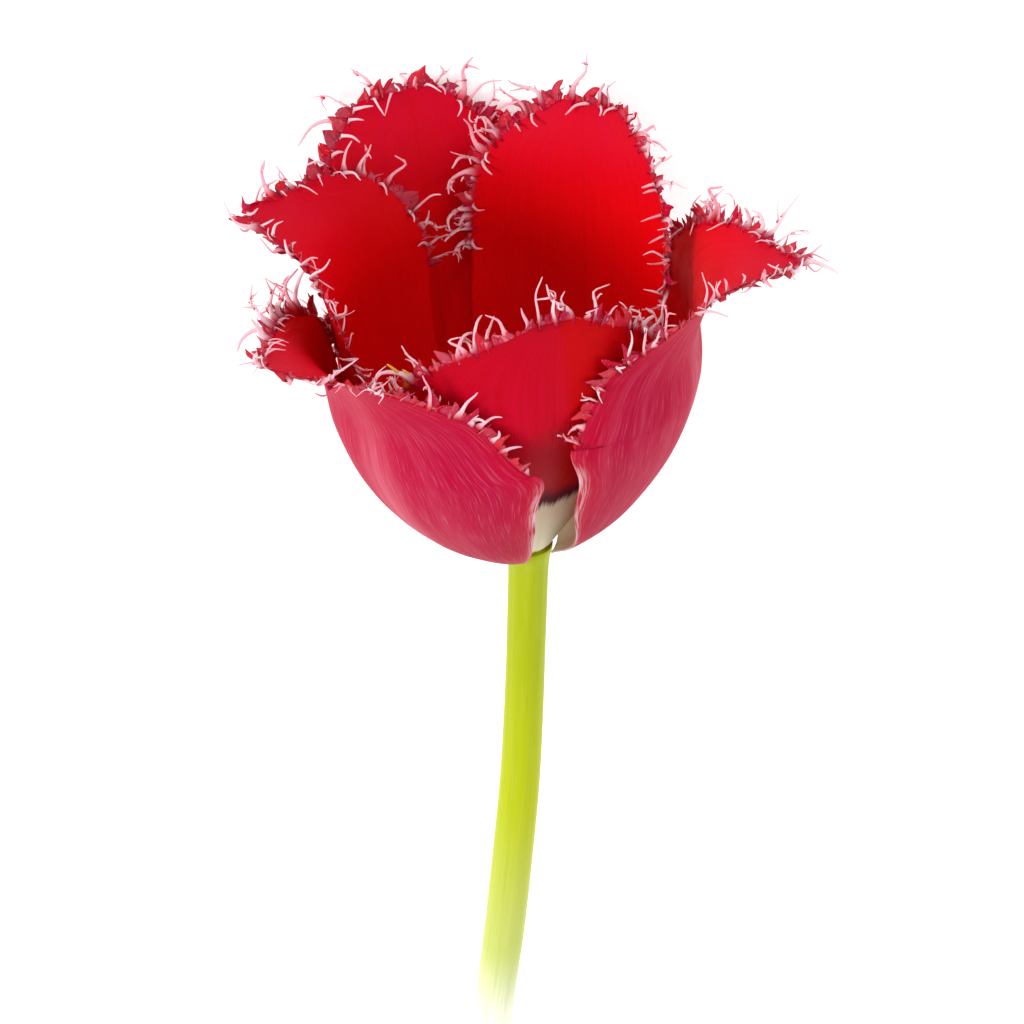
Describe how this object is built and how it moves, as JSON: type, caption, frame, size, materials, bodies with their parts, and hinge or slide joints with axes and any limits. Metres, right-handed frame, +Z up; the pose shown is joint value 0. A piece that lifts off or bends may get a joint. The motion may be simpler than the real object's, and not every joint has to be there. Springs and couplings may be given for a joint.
{
  "type": "cut fringed tulip",
  "caption": "Open red fringed tulip on a cut green stem, lying on its side, with petals edged in pale curled strands round a pistil and dark anthers.",
  "frame": {"origin": "centre of the bounding box on the surface that the flower lies on", "axes": "+Y along the flower from the cut end of the stem to the bloom, +Z up, +X to the bloom's right seen from above"},
  "size_m": [0.0949, 0.1854, 0.0662],
  "materials": {
    "petal_outside": "soft satin crimson petal outside, streaked with pink",
    "petal_inside": "soft satin scarlet petal inside",
    "stem": "smooth, slightly waxy yellow-green plant skin",
    "pistil": "matt pale green plant skin with a cream stigma",
    "filament": "matt yellow plant tissue",
    "anther": "matt, dusty, purple-black pollen sac"
  },
  "bodies": {
    "root": {"stem": "stem", "petal_outer_left": "petal_outside", "petal_outer_right": "petal_outside", "petal_outer_back": "petal_outside", "petal_inner_front": "petal_inside", "petal_inner_right": "petal_inside", "petal_inner_left": "petal_inside", "pistil": "pistil", "filament_1": "filament", "filament_2": "filament", "filament_3": "filament", "filament_4": "filament", "filament_5": "filament", "filament_6": "filament", "anther_1": "anther", "anther_2": "anther", "anther_3": "anther", "anther_4": "anther", "anther_5": "anther", "anther_6": "anther"}
  },
  "joints": []
}
